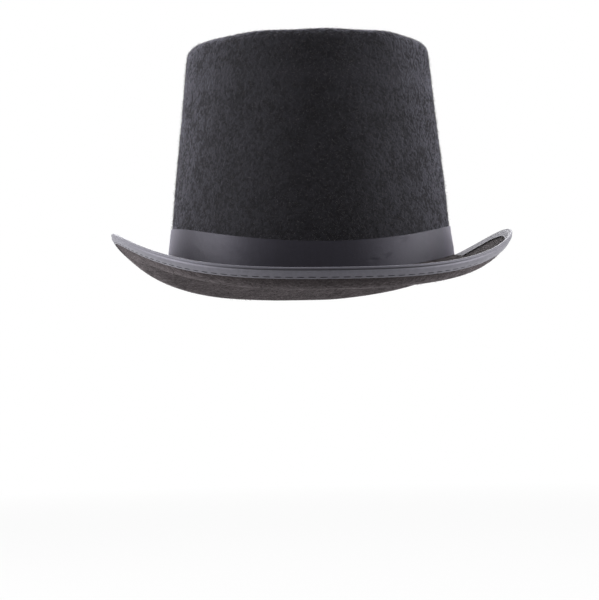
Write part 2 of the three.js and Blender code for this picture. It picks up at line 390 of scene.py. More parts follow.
def crown_sheet(inset):
    """One face of the crown, [station, place]: the wall, the rounded edge and the domed tip."""
    angle = felt_angles()
    radius = TIP_ROUND - inset
    low = root_height(angle) + FELT / 2 + CLEARANCE
    high = WALL_TOP + radius * math.sin(WALL_LEAN)
    z = mix(low, high, np.linspace(0, 1, WALL_STEPS)[:-1])
    wall = oval_point(angle, wall_half_width(angle, z) - inset, z)
    turn = np.linspace(WALL_LEAN, math.pi / 2, TIP_EDGE_STEPS)
    inner = tip_half_width()
    rounded = oval_point(angle, inner + radius * np.cos(turn), WALL_TOP + radius * np.sin(turn))
    half_width = inner * (1 - np.linspace(0, 1, TIP_STEPS)[1:])
    height = CROWN_HEIGHT - inset + tip_rise(half_width)
    tip = oval_point(angle, half_width, height, OVAL * half_width / inner)
    return np.concatenate([wall, rounded, tip], axis=1)


def crown_push(angle, along):
    """How far the crown swells out, along from its foot: not under the ribbon or mid-tip."""
    above_ribbon = smooth(*CROWN_SWELL_START, along)
    off_middle = smooth(CROWN_RUN, CROWN_RUN - CROWN_SWELL_END, along)
    return swells(angle, along, CROWN_SWELL, seed=3) * (above_ribbon * off_middle)


def crown_felt():
    outside, inside = crown_sheet(0), crown_sheet(FELT)
    along = lengths(outside[0])
    push = crown_push(felt_angles(), along[None, :])
    shift = unit(outside - inside) * push[..., None]
    points = np.concatenate([outside + shift, (inside + shift)[:, ::-1]], axis=1)
    uv = felt_lengths(), np.concatenate([along, along[::-1]])
    return surface("crown_felt", points, uv, around=True)


def foot_level():
    """The lowest line of the underside at the front, where the cloth turns level, less the flat."""
    front = np.array([-math.pi / 2])
    slope, shelf, roll = brim_curve(front)
    return brim_point(front, shelf - slope / roll, -FELT / 2)[0, 2] + FOOT_FLAT


def brim_felt():
    """The brim's underside, its rounded nose in the fold, its top, and the collar in the crown."""
    angle = felt_angles()
    half = FELT / 2
    nose = brim_width(angle) - NOSE_BEHIND
    along = nose * np.linspace(0, 1, BRIM_STEPS)
    off_crown = smooth(*BRIM_SWELL_START, along)
    off_tape = smooth(*BRIM_SWELL_END, nose - along)
    push = swells(angle, along, BRIM_SWELL, seed=5) * (off_crown * off_tape)
    under = brim_point(angle, along, push - half)
    under[..., 2] = np.maximum(under[..., 2], foot_level())
    over = brim_point(angle, along, push + half)[:, ::-1]
    turn = np.linspace(-math.pi / 2, math.pi / 2, BRIM_NOSE_STEPS)[1:-1]
    rounded = brim_point(angle, nose + half * np.cos(turn), half * np.sin(turn))
    outer = -FELT - CLEARANCE
    inner = outer - FELT
    rises = np.linspace(half, COLLAR_HEIGHT, COLLAR_STEPS)
    collar = [
        wall_point(angle, outer, rises),
        wall_point(angle, inner, rises[::-1]),
        wall_point(angle, inner + 0.3 * FELT, -0.2 * FELT + 0 * angle),  # its bend into the brim
        wall_point(angle, outer, -half + 0 * angle),
    ]
    points = np.concatenate([under, rounded, over, *collar], axis=1)
    across = lengths(np.concatenate([points[0], points[0, :1]]))
    return surface("brim_felt", points, (felt_lengths(), across), around=True, across=True)


# Satin


def lapped(start, stations):
    """Angles once round the hat from a strip's start, and on over its lap."""
    return start + np.linspace(0, TURN + LAP_LENGTH, stations)[:, None]


def lap_lift(angle, start, thickness):
    """How far a strip is lifted near its end, to lie over its own start."""
    return smooth(TURN - LAP_EASE, TURN, angle - start) * (thickness + LAP_GAP)


def edge_turn(angle):
    """An angle's way round the edge from the tape's lap, as a share of the whole, and the whole."""
    fine = lapped(TAPE_LAP, 3000)[:, 0]
    run = lengths(edge_point(fine, 0, 0 * fine))
    whole = np.interp(TAPE_LAP + TURN, fine, run)
    return np.interp(angle, fine, run) / whole, whole


def stitch_count():
    _, whole = edge_turn(TAPE_LAP)
    return round(whole / STITCH_PITCH)


def tape_relief(angle, out, upper):
    """How far the tape's face stands off its plain level, outwards.

    The thread draws in a shallow channel, deepest where it enters at the end of each stitch, the
    cloth puckers up between, and where the brim curls most its upper face gathers into ripples.
    """
    turn, whole = edge_turn(angle)
    beat = turn * stitch_count()
    channel = np.exp(-(((out - STITCH_ROW) / CHANNEL_REACH) ** 2))
    entry = 0.5 + 0.5 * np.cos(TURN * beat)
    inward = np.clip((out - STITCH_ROW) / PUCKER_REACH, 0, 1)
    pucker = np.cos(TURN * (beat + 0.5)) * (1 - inward) ** 2 * PUCKER
    ripple = np.sin(TURN * turn * whole / RIPPLE_PITCH + 2 * np.sin(TURN * 9 * turn))
    uneven = (0.5 + 0.5 * np.sin(TURN * 5 * turn + 1)) ** 2
    gather = ripple * uneven * (1 - inward) * side_share(angle) * RIPPLE * upper
    return pucker + gather - channel * (CHANNEL_DEPTH + ENTRY_DEPTH * entry)


def tape_face(angle, off, bulge):
    """One face of the folded tape, as (out, up), off from the middle of its thickness.

    It is flat on the felt, then follows a circle round the felt's nose, then one round the wire,
    and comes back in the same way. The two circles cross at the waist.
    """
    bead = FOLD_RADIUS + bulge + off
    nose = TAPE_LEVEL + off
    waist = (nose**2 - bead**2 - NOSE_BEHIND**2) / (2 * NOSE_BEHIND)
    nose_end = np.arccos((waist + NOSE_BEHIND) / nose)
    turn = mix(math.pi / 2, nose_end, np.linspace(0, 1, NOSE_STEPS)[:-1])
    flat = np.linspace(-TAPE_FACE, -NOSE_BEHIND, FLAT_STEPS)[:-1] + 0 * angle
    sweep = np.arccos(waist / bead) * np.linspace(-1, 1, BEAD_STEPS)
    out = np.concatenate([flat, nose * np.cos(turn) - NOSE_BEHIND], axis=1)
    lower, upper = (
        np.concatenate([nose + tape_relief(angle, flat, side), nose * np.sin(turn)], axis=1)
        for side in (0, 1)
    )
    return (
        np.concatenate([out, bead * np.cos(sweep), out[:, ::-1]], axis=1),
        np.concatenate([-lower, bead * np.sin(sweep), upper[:, ::-1]], axis=1),
    )


def binding():
    """The tape all round, swelling over the wire's joiner, its end lapped over its start."""
    angle = lapped(TAPE_LAP, TAPE_STATIONS)
    lift = lap_lift(angle, TAPE_LAP, TAPE)
    beyond = (angle - TAPE_LAP + math.pi) % TURN - math.pi
    over_joiner = smooth(-LAP_EASE, 0, beyond) * smooth(LAP_LENGTH + LAP_EASE, LAP_LENGTH, beyond)
    bulge = over_joiner * JOINER_BULGE
    faces = [
        edge_point(angle, *tape_face(angle, lift + half, bulge)) for half in (TAPE / 2, -TAPE / 2)
    ]
    return strip("binding", *faces)


def crease(angle, up, place, height, slant, reach, girth):
    """A bell over a slanting line through a place on the ribbon. height is a share of its width."""
    run = (angle - place) * ROOT_HALF_WIDTH
    rise = up - RIBBON_LOW - height * RIBBON_WIDTH - slant * run
    return np.exp(-((run / reach) ** 2) - (rise / girth) ** 2)


def ribbon():
    """The ribbon round the crown, with slow slack, soft slanting folds and a few small creases."""
    angle = lapped(RIBBON_LAP, STRIP_STATIONS)
    share = np.concatenate([[0], np.linspace(0.006, 0.994, RIBBON_STEPS), [1]])
    up = RIBBON_LOW + RIBBON_WIDTH * share[None, :]
    rng = np.random.default_rng(11)
    slack = RIBBON_SLACK * (1 + np.sin(5 * angle + 1) * np.sin(9 * angle + 120 * up))
    for _ in range(SOFT_CREASES):
        place = rng.uniform(0, TURN) + RIBBON_LAP
        height = rng.uniform(0.2, 0.8)
        slant = rng.uniform(-0.5, 0.5)
        bell = crease(angle, up, place, height, slant, *SOFT_CREASE_SIZE)
        slack = slack + rng.uniform(*SOFT_CREASE_HEIGHT) * bell
    for degrees, height, slant in SEEN_CREASES:
        bell = crease(angle, up, math.radians(degrees), height, slant, *SEEN_CREASE_SIZE)
        slack = slack - SEEN_CREASE_DEPTH * bell
    out = CLEARANCE + slack + lap_lift(angle, RIBBON_LAP, RIBBON)
    return strip("ribbon", wall_point(angle, out + RIBBON, up), wall_point(angle, out, up))


def sweatband():
    """The band inside: flat on the collar, then leaning out to the wall above the collar's top."""
    angle = lapped(SWEATBAND_LAP, STRIP_STATIONS)
    up = np.linspace(0, SWEATBAND_WIDTH, SWEATBAND_STEPS)[None, :]
    top = COLLAR_HEIGHT + CLEARANCE
    lean = smooth(top, top + SWEATBAND_EASE, up) * (FELT + CLEARANCE)
    slack = SWEATBAND_SLACK * (1 + np.sin(13 * angle + 90 * up))
    out = SWEATBAND_FACE + lean - lap_lift(angle, SWEATBAND_LAP, SWEATBAND) - slack
    faces = [wall_point(angle, out - inset, up) for inset in (0, SWEATBAND)]
    return strip("sweatband_cloth", *faces)


# Thread


def threads(name, paths, radius, sides=6):
    """Stitches: tubes round paths [stitch, station, 3], thin at both ends, where they dive in.

    The girth follows the fourth root of a half sine along each path. The ends close to points.
    """
    count, stations = paths.shape[:2]
    heading = unit(np.gradient(paths, axis=1))
    aside = paths[:, :1] - paths[:, -1:] + np.array([0.3, 0.2, 1.0])  # along no stitch
    side = unit(np.cross(heading, aside))
    top = np.cross(heading, side)
    share = lengths(paths[0]) / lengths(paths[0])[-1]
    girth = radius * np.clip(np.sin(math.pi * share), 0, 1) ** 0.25
    girth[[0, -1]] = 0
    turn = np.arange(sides) * TURN / sides
    ring = side[:, :, None] * np.cos(turn)[:, None] + top[:, :, None] * np.sin(turn)[:, None]
    points = paths[:, :, None] + ring * girth[:, None, None]
    k = np.arange(count)[:, None, None] * stations * sides
    i = np.arange(stations - 1)[None, :, None] * sides
    j = np.arange(sides)[None, None, :]
    right = (j + 1) % sides
    faces = np.stack([k + i + j, k + i + right, k + i + sides + right, k + i + sides + j], -1)
    return made(name, points.reshape(-1, 3), faces.reshape(-1, 4))


def binding_stitches():
    """The running stitch through both faces of the tape.

    Each stitch dives under the tape at its ends and stands just over it between. It is drawn in at
    the hat's sides, nearly out of sight on the +X side, and on the upper face.
    """
    count = stitch_count()
    fine = TAPE_LAP + np.linspace(0, TURN, 6000)
    turn, whole = edge_turn(fine)
    middles = (np.arange(count) + 0.5) / count
    share = np.array([-0.5, -0.45, -0.34, -0.15, 0.15, 0.34, 0.45, 0.5])
    angle = np.interp(middles[:, None] + share * STITCH_LENGTH / whole, turn, fine)
    bow = 1 - (2 * share) ** 4
    sink = STITCH_DIVE - (STITCH_DIVE + STITCH_STAND) * bow
    hidden = smooth(0.4, 0.75, np.cos(angle))
    drawn = (STITCH_DRAW * side_share(angle) + STITCH_HIDE * hidden) * bow
    level = TAPE_LEVEL + TAPE / 2 - sink - drawn
    upper = edge_point(angle, STITCH_ROW, level - drawn)
    lower = edge_point(angle, STITCH_ROW, -level)
    return threads("binding_stitches", np.concatenate([upper, lower]), THREAD)


def sweatband_stitches():
    """The sweatband's lower edge, sewn to the collar with a slanting stitch."""
    length = 0.75  # share of the pitch
    dive, rise, height, slope = 0.0002, 0.0005, 0.003, 0.0016
    row = np.arange(SWEATBAND_STITCHES)[:, None]
    share = np.linspace(-0.5, 0.5, 7)
    angle = (row + 0.5 + length * share) * TURN / SWEATBAND_STITCHES
    bow = np.cos(math.pi * share)
    out = SWEATBAND_FACE - SWEATBAND + dive - rise * bow
    up = height + slope * share + 0 * angle
    return threads("sweatband_stitches", wall_point(angle, out, up), THREAD)


def lap_stitches():
    """Short hand stitches that hold down the ribbon's end."""
    count, length, slope, radius, stand = 9, 0.0034, 0.0007, 0.00016, 0.0002
    row = np.arange(count)[:, None]
    share = np.linspace(-0.5, 0.5, 7)
    end = RIBBON_LAP + LAP_LENGTH
    angle = end + share * length / ROOT_HALF_WIDTH + 0 * row
    up = RIBBON_LOW + (row + 0.5) * RIBBON_WIDTH / count + slope * share
    over = smooth(0.2, -0.1, share) * (RIBBON + stand)
    out = CLEARANCE + RIBBON + LAP_GAP + over + stand * np.cos(math.pi * share)
    return threads("ribbon_stitches", wall_point(angle, out, up), radius)


# Loose fibres


def frame_at(place, first, second, step=1e-5):
    """Points of a surface, its normal and its direction up the second parameter, by small steps."""
    here = place(first, second)
    across = place(first + step, second) - here
    up = unit(place(first, second + step) - here)
    return here, unit(np.cross(across, up)), up


def fibres(name, root, normal, grain, length, rise, spread, seed):
    """Loose fibres that leave the felt at a slope and bend back towards it.

    Each middle line is root + length * (slide t + rise (t - 0.6 t squared) + sway t squared), its
    heading turned about the normal by about spread radians. The section is a triangle, closed at
    both ends, and none reaches below the foot.
    """
    rng = np.random.default_rng(seed)
    count = len(root)
    turn = rng.normal(0, spread, count)[:, None]
    sideways = np.cross(normal, grain)
    heading = grain * np.cos(turn) + sideways * np.sin(turn)
    across = np.cross(normal, heading)
    size = rng.uniform(0.4, 1, count)[:, None] * length
    lift = rng.beta(1.2, 3.0, count)[:, None] * rise
    sway = rng.normal(0, 0.22, count)[:, None]
    lines = []
    for t in FIBRE_STATIONS:
        climb = lift * (t - 0.6 * t * t) * normal
        step = size * (t * heading + climb + sway * t * t * across)
        lines.append(root - FIBRE_ROOT * normal + step)
    girth = rng.uniform(0.6, 1.1, count)[:, None, None] * FIBRE
    turns = np.arange(3) * TURN / 3
    ring = across[:, None] * np.cos(turns)[:, None] + normal[:, None] * np.sin(turns)[:, None]
    lower = lines[1][:, None] + ring * girth
    upper = lines[2][:, None] + ring * girth * 0.8
    points = np.concatenate([lines[0][:, None], lower, upper, lines[3][:, None]], axis=1)
    points[..., 2] = np.maximum(points[..., 2], foot_level())
    pattern = [[0, 2, 1], [0, 3, 2], [0, 1, 3], [7, 4, 5], [7, 5, 6], [7, 6, 4]]  # its two tips
    for k in range(3):
        n = (k + 1) % 3
        pattern += [[1 + k, 1 + n, 4 + n], [1 + k, 4 + n, 4 + k]]
    faces = np.arange(count)[:, None, None] * 8 + np.array(pattern)
    return made(name, points.reshape(-1, 3), faces.reshape(-1, 3))


def wall_fibres(name, count, length, rise, spread, seed):
    """Fibres over the crown's wall from the ribbon up, brushed down the hat."""
    rng = np.random.default_rng(seed)
    angle = rng.uniform(0, TURN, count)
    low = RIBBON_LOW + RIBBON_WIDTH + FIBRE_MARGIN
    up = low + (WALL_TOP - root_height(angle) - low) * rng.uniform(0, 1, count)

    def place(angle, up):
        along = WALL_TOP * up / (WALL_TOP - root_height(angle))
        return wall_point(angle, crown_push(angle, along), up)

    root, normal, grain = frame_at(place, angle, up)
    return fibres(name, root, normal, -grain, length, rise, spread, seed + 1)


def tip_fibres(name, count, length, rise, seed):
    """Fibres over the rounded edge and the tip."""
    rng = np.random.default_rng(seed)
    angle = rng.uniform(0, TURN, count)
    share = rng.uniform(0, 1, count)
    inner = tip_half_width()
    last = 1.02  # a little past the whole, so that none lies on the tip's very middle

    def place(angle, share):
        """Its first share goes round the edge, the rest in over the dome, evenly by area."""
        edge = share < EDGE_SHARE
        turn = mix(WALL_LEAN, math.pi / 2, np.clip(share / EDGE_SHARE, 0, 1))
        half_width = inner * np.sqrt(np.clip((last - share) / (last - EDGE_SHARE), 0, 1))
        push = crown_push(angle, WALL_TOP + TIP_ROUND * turn + inner - half_width)
        radius = TIP_ROUND + push
        out = np.where(edge, inner + radius * np.cos(turn), half_width)
        domed = CROWN_HEIGHT + tip_rise(half_width) + push
        z = np.where(edge, WALL_TOP + radius * np.sin(turn), domed)
        return oval_point(angle, out, z, OVAL * np.clip(out / inner, 0, 1))

    root, normal, grain = frame_at(place, angle, share)
    return fibres(name, root, normal, grain, length, rise, FIBRE_SPREAD, seed + 1)


def brim_fibres(name, count, length, rise, seed):
    """Fibres over both faces of the brim as far as the tape, but for where it stands."""
    rng = np.random.default_rng(seed)
    angle = rng.uniform(0, TURN, count)
    share = rng.uniform(0.04, 1, count)
    side = np.where(rng.uniform(0, 1, count) < 0.5, 1, -1)

    def place(angle, share):
        bare = brim_width(angle) - TAPE_FACE - 2 * FIBRE_MARGIN
        return brim_point(angle, share * bare, side * FELT / 2)

    root, normal, grain = frame_at(place, angle, share)
    normal = -normal * side[:, None]
    clear = root[:, 2] > foot_level() + 0.0004
    root, normal, grain = root[clear], normal[clear], grain[clear]
    return fibres(name, root, normal, grain, length, rise, FIBRE_SPREAD, seed + 1)


# Finishes


class Value:
    """A number or colour in a material's nodes, so that its maths reads as Python sums."""

    def __init__(self, finish, socket):
        self.finish = finish
        self.socket = socket

    def maths(self, operation, a, b):
        return self.finish.node("ShaderNodeMath", {"operation": operation}, {0: a, 1: b})

    def __add__(self, other):
        return self.maths("ADD", self, other)

    def __sub__(self, other):
        return self.maths("SUBTRACT", self, other)

    def __mul__(self, other):
        return self.maths("MULTIPLY", self, other)

    def __truediv__(self, other):
        return self.maths("DIVIDE", self, other)

    def __abs__(self):
        return self.maths("ABSOLUTE", self, 0)

    def __radd__(self, other):
        return self.maths("ADD", other, self)

    def __rsub__(self, other):
        return self.maths("SUBTRACT", other, self)


class Finish:
    """A material built on one principled shader, with a second over it where it needs one."""

    def __init__(self, name, **settings):
        self.material = bpy.data.materials.new(name)
        self.material.use_nodes = True
        self.tree = self.material.node_tree
        self.shader = self.tree.nodes["Principled BSDF"]
        self.set_up(self.shader, settings)

    @staticmethod
    def set_up(shader, settings):
        for socket, value in settings.items():
            shader.inputs[socket.replace("_", " ")].default_value = value

    def put(self, socket, value):
        """A value, colour or plain number into a socket."""
        if isinstance(value, Value):
            self.tree.links.new(value.socket, socket)
        else:
            socket.default_value = value

    def node(self, kind, settings=None, sockets=None, output=0):
        """A node of a type, with its settings made first, then its sockets' values or links."""
        made_node = self.tree.nodes.new(kind)
        for name, value in (settings or {}).items():
            if name == "stops":
                self.stops(made_node.color_ramp, value)
            else:
                setattr(made_node, name, value)
        for name, value in (sockets or {}).items():
            self.put(made_node.inputs[name], value)
        return Value(self, made_node.outputs[output])

    @staticmethod
    def stops(ramp, values):
        for k, (place, grey) in enumerate(values):
            stop = ramp.elements[k] if k < 2 else ramp.elements.new(place)
            stop.position = place
            stop.color = (grey, grey, grey, 1)

    def place(self, draw=(1, 1, 1), turn=(0, 0, 0)):
        """Object coordinates, whose pattern is drawn out along each axis and then turned."""
        where = self.node("ShaderNodeTexCoord", output="Object")
        return self.drawn(where, draw, turn)

    def along_cloth(self, draw=(1, 1, 1), turn=(0, 0, 0)):
        """The cloth's own lengths, in metres, whose pattern is drawn out and then turned."""
        where = self.node("ShaderNodeUVMap", {"uv_map": "cloth"})
        return self.drawn(where, draw, turn)

    def drawn(self, where, draw, turn):
        return self.node(
            "ShaderNodeMapping",
            {"vector_type": "TEXTURE"},
            {"Vector": where, "Scale": draw, "Rotation": turn},
        )

    def noise(self, place, scale, detail=2.0, roughness=0.5, warp=0.0):
        return self.node(
            "ShaderNodeTexNoise",
            {},
            {
                "Vector": place,
                "Scale": scale,
                "Detail": detail,
                "Roughness": roughness,
                "Distortion": warp,
            },
        )

    def ramp(self, value, *stops):
        return self.node("ShaderNodeValToRGB", {"stops": stops}, {"Fac": value})

    def blend(self, share, first, second):
        """A colour from first to second by share. Sockets go by number, because names recur."""
        mixer = self.tree.nodes.new("ShaderNodeMix")
        mixer.data_type = "RGBA"
        self.put(mixer.inputs[0], share)
        self.put(mixer.inputs[6], first)
        self.put(mixer.inputs[7], second)
        return Value(self, mixer.outputs[2])

    def part_of(self, vector, axis):
        return self.node("ShaderNodeSeparateXYZ", {}, {"Vector": vector}, axis)

    def bump(self, height, depth, strength):
        return self.node(
            "ShaderNodeBump", {}, {"Height": height, "Distance": depth, "Strength": strength}
        )

    def wear(self, colour=None, roughness=None, normal=None):
        """Links the values that change over the surface."""
        for name, value in (("Base Color", colour), ("Roughness", roughness), ("Normal", normal)):
            if value is not None:
                self.put(self.shader.inputs[name], value)
        return self.material

    def over(self, share, colour, normal, **settings):
        """A second principled shader that covers the first by share."""
        second = self.tree.nodes.new("ShaderNodeBsdfPrincipled")
        self.set_up(second, settings)
        self.put(second.inputs["Base Color"], colour)
        self.put(second.inputs["Normal"], normal)
        mixer = self.tree.nodes.new("ShaderNodeMixShader")
        self.put(mixer.inputs[0], share)
        self.tree.links.new(self.shader.outputs[0], mixer.inputs[1])
        self.tree.links.new(second.outputs[0], mixer.inputs[2])
        self.tree.links.new(mixer.outputs[0], self.tree.nodes["Material Output"].inputs["Surface"])
        return self.material


def felt_finish(name, dark, light, sheen, tint, raised, turned=None):
    """Needled felt: clumps of short fibres under finer strokes that lie several ways.

    The nap is raised, and has its sheen, where the pattern passes over raised, a pair of levels.
    It also stands up where the felt turns over an edge: turned is that edge's height and reach.
    """
    finish = Finish(name, Specular_IOR_Level=0.1)
    clumped = finish.noise(finish.place(), scale=520, detail=3, roughness=0.6, warp=0.6)
    clumps = finish.ramp(clumped, (0.36, 0), (0.64, 1))
    tufted = finish.noise(finish.place(), scale=260, detail=1, warp=0.8)
    tufts = finish.ramp(tufted, (0.34, 0), (0.66, 1))
    strokes = 0
    for turn in ((0, 0, 0), (0.7, 0.7, 0), (-0.7, -0.7, 0), (1.5, 0.7, 0.7)):
        drawn = finish.place((1, 1, 4), turn)
        strokes = strokes + finish.noise(drawn, scale=2400, roughness=0.6) * 0.25
    patch = finish.noise(finish.place(), scale=85, detail=3, roughness=0.6, warp=0.7)
    tone = clumps * 0.28 + tufts * 0.16 + strokes * 0.2 + patch * 0.3
    colour = finish.blend(tone, dark, light)
    relief = finish.bump(clumps * 0.6 + tufts * 0.5 + patch * 0.6, depth=0.0004, strength=0.8)
    finish.wear(colour, 0.93 - clumps * 0.12, relief)
    low, high = raised
    nap = finish.ramp(patch * 0.62 + tufts * 0.16 + clumps * 0.3, (low, 0.1), (high, 1))
    if turned:
        level, reach = turned
        height = finish.part_of(finish.place(), "Z")
        nap = nap + finish.ramp(abs(height - level) / reach, (0.3, 0.45), (1, 0))
    return finish.over(
        finish.ramp(nap, (0, 0), (1, 1)),
        colour,
        relief,
        Roughness=0.9,
        Specular_IOR_Level=0.1,
        Sheen_Weight=sheen,
        Sheen_Roughness=0.44,
        Sheen_Tint=tint,
    )


def satin_finish(name, dark, light, dullness, grain, creases=None, **settings):
    """Satin: fine crosswise yarns under long glossy floats, with faint uneven bars along it.

    grain is the height of its weave. creases places painted shade: it is a middle across the
    cloth, and how far to each side of it a dark line of painted shade lies in the groove at the
    waist. Between the two lines, over the bead round the wire, the colour is a little darker,
    which is painted shade too. Both fade out towards the sides of the hat.
    """
    finish = Finish(name, Specular_Tint=(0.85, 0.81, 1, 1), **settings)
    yarns = finish.noise(finish.along_cloth((2, 0.17, 1)), scale=900, roughness=0.6)
    bars = finish.noise(finish.along_cloth((0.25, 2, 1)), scale=60)
    mottle = finish.noise(finish.along_cloth(), scale=420, roughness=0.55)
    tone = finish.ramp(yarns * 0.45 + bars * 0.25 + mottle * 0.3, (0.38, 0), (0.62, 1))
    colour = finish.blend(tone, dark, light)
    rough = dullness + mottle * 0.1 + yarns * 0.06
    relief = finish.bump(yarns * 0.55 + mottle * 0.45, depth=grain, strength=0.5)
    if creases:
        middle, reach = creases
        inset, width = 0.0005, 0.00065  # of the painted shade line in the groove
        bead_shade_end, groove_shade_end = 0.13, 0.12  # out from the hat's middle, where the painted shade has faded
        # Dark colours for the painted shade on the bead and in the grooves.
        painted_bead_shade, painted_groove_shade = (0.02, 0.02, 0.027, 1), (0.004, 0.004, 0.005, 1)
        across = finish.part_of(finish.along_cloth(), "Y")
        sideways = finish.part_of(finish.place(), "X")
        off = abs(abs(across - middle) - (reach - inset))
        # A little painted shade over the bead between the grooves, faded out towards the hat's
        # sides.
        folded = finish.ramp(abs(across - middle) / reach, (0.8, 0.5), (1, 0))
        folded = folded * finish.ramp(abs(sideways) / bead_shade_end, (0.75, 1), (0.95, 0))
        colour = finish.blend(folded, colour, painted_bead_shade)
        # A thin dark line of painted shade in each groove at the waist, faded out towards the
        # sides.
        fade = finish.ramp(abs(sideways) / groove_shade_end, (0.45, 0.9), (0.8, 0))
        depth = finish.ramp(off / width, (0.2, 1), (1, 0)) * fade
        finish.over(depth, painted_groove_shade, relief, Roughness=0.9)
    return finish.wear(colour, rough, relief)


def thread_finish():
    """Dark sewing thread, twisted: fine slanting bands along it."""
    finish = Finish("dark_thread", Specular_IOR_Level=0.2, Sheen_Weight=0.15, Sheen_Roughness=0.4)
    twist = finish.noise(finish.place(turn=(0.6, 0.4, 0.2)), scale=2200, detail=1)
    colour = finish.blend(twist, (0.006, 0.006, 0.008, 1), (0.02, 0.02, 0.024, 1))
    relief = finish.bump(twist, depth=0.00006, strength=0.6)
    return finish.wear(colour, 0.6 + twist * 0.15, relief)


def fibre_finish():
    """Loose fibres, a little paler than the felt they leave."""
    finish = Finish(
        "loose_fibre",
        Specular_IOR_Level=0.2,
        Sheen_Weight=0.5,
        Sheen_Roughness=0.4,
        Sheen_Tint=(0.5, 0.46, 0.47, 1),
    )
    tone = finish.noise(finish.place(), scale=160, detail=1)
    colour = finish.blend(tone, (0.014, 0.0125, 0.013, 1), (0.038, 0.033, 0.034, 1))
    return finish.wear(colour, 0.85 - tone * 0.1)


def grosgrain_finish():
    """The sweatband's cloth: crosswise ribs a millimetre apart, dark between."""
    finish = Finish("grosgrain", Specular_IOR_Level=0.2, Sheen_Weight=0.2, Sheen_Roughness=0.4)
    ribs = finish.node(
        "ShaderNodeTexWave",
        {"wave_type": "BANDS", "bands_direction": "X", "wave_profile": "SIN"},
        {"Vector": finish.along_cloth(), "Scale": 320.0, "Distortion": 0.4, "Detail": 1.0},
    )
    tone = finish.noise(finish.along_cloth(), scale=700)
    share = ribs * 0.6 + tone * 0.4
    colour = finish.blend(share, (0.006, 0.006, 0.0065, 1), (0.022, 0.022, 0.024, 1))
    relief = finish.bump(ribs * 0.8 + tone * 0.2, depth=0.0002, strength=0.7)
    return finish.wear(colour, 0.8 - ribs * 0.12, relief)


def steel_finish():
    """Drawn wire: fine lines along it and a little dulling."""
    finish = Finish("drawn_steel", Metallic=1.0)
    lines = finish.noise(finish.place((1, 1, 0.25)), scale=1500)
    colour = finish.blend(lines, (0.24, 0.24, 0.245, 1), (0.42, 0.42, 0.43, 1))
    relief = finish.bump(lines, depth=0.00002, strength=0.5)
    return finish.wear(colour, 0.3 + lines * 0.2, relief)


# The hat put together


def finished(piece, finish, slot, *nodes):
    """Gives a piece its place on the hat, its finish, and the solids it stands for."""
    piece.data.transform(Matrix.Translation((0, 0, -foot_level())))
    piece.data.materials.append(finish)
    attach(piece, "root")
    if nodes:
        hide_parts(*nodes)
    return piece


def dress_crown():
    dark, light = (0.0128, 0.0124, 0.0145, 1), (0.0196, 0.019, 0.0221, 1)
    felt = felt_finish(
        "crown_felt",
        dark,
        light,
        sheen=1.0,
        tint=(0.44, 0.434, 0.535, 1),
        raised=(0.44, 0.62),
        turned=(CROWN_HEIGHT - TIP_ROUND / 2, TIP_ROUND),
    )
    finished(crown_felt(), felt, "felt", "crown")


def dress_brim():
    # Its warm cast, in the colours and the sheen's tint, is painted warm light reflected up from
    # below.
    dark, light = (0.022, 0.0185, 0.0195, 1), (0.044, 0.037, 0.0386, 1)
    tint = (0.49, 0.43, 0.455, 1)
    felt = felt_finish("brim_felt", dark, light, sheen=0.45, tint=tint, raised=(0.31, 0.77))
    finished(brim_felt(), felt, "felt", "brim")


def dress_loose():
    """The felt's loose fibres: a few long ones over short standing fuzz."""
    finish = fibre_finish()
    loose = [
        wall_fibres("wall_fibres", 9000, length=0.0042, rise=0.9, spread=0.5, seed=21),
        wall_fibres("wall_fuzz", 16000, length=0.0015, rise=4.5, spread=FIBRE_SPREAD, seed=23),
        wall_fibres("wall_down", 16000, length=0.0015, rise=4.5, spread=FIBRE_SPREAD, seed=25),
        wall_fibres("wall_wool", 16000, length=0.0011, rise=5.5, spread=FIBRE_SPREAD, seed=27),
        tip_fibres("tip_fibres", 7000, length=0.0036, rise=1.0, seed=31),
        tip_fibres("tip_fuzz", 16000, length=0.0012, rise=2.8, seed=33),
        brim_fibres("brim_fibres", 6000, length=0.003, rise=0.7, seed=41),
        brim_fibres("brim_fuzz", 9000, length=0.0011, rise=3.2, seed=43),
    ]
    for piece in loose:
        finished(piece, finish, "felt")


def dress_ribbon(thread):
    dark, light = (0.0042, 0.004, 0.0057, 1), (0.0086, 0.0082, 0.0118, 1)
    satin = satin_finish(
        "ribbon_satin",
        dark,
        light,
        dullness=0.38,
        grain=0.0003,
        Specular_IOR_Level=0.21,
        Sheen_Weight=0.95,
        Sheen_Roughness=0.4,
        Sheen_Tint=(0.87, 0.83, 1, 1),
    )
    band = finished(ribbon(), satin, "satin", "hat_band")
    ends = finished(lap_stitches(), thread, "lining")


def dress_binding(thread):
    """The tape over the brim's edge, with painted shade at the waist on each side of the bead and
    on it.
    """
    dark, light = (0.075, 0.073, 0.083, 1), (0.105, 0.103, 0.117, 1)
    start = np.zeros((1, 1))
    across = lengths(np.stack(tape_face(start, start, start), axis=-1)[0])
    width = across[-1]
    waist = across[len(across) // 2 - BEAD_STEPS // 2]
    satin = satin_finish(
        "binding_satin",
        dark,
        light,
        dullness=0.42,
        grain=0.00003,
        # painted shade at the waist on each side of the bead, and on the bead
        creases=(width / 2, width / 2 - waist),
        Specular_IOR_Level=0.48,
        Sheen_Weight=0.3,
        Sheen_Roughness=0.5,
        Sheen_Tint=(0.9, 0.89, 1, 1),
    )
    _, edge = edge_turn(TAPE_LAP)
    tape = finished(binding(), satin, "satin", "edge_binding")
    tape_thread = finished(binding_stitches(), thread, "lining")


def dress_sweatband(thread):
    lining = finished(sweatband(), grosgrain_finish(), "lining", "sweatband")
    lining_thread = finished(sweatband_stitches(), thread, "lining")


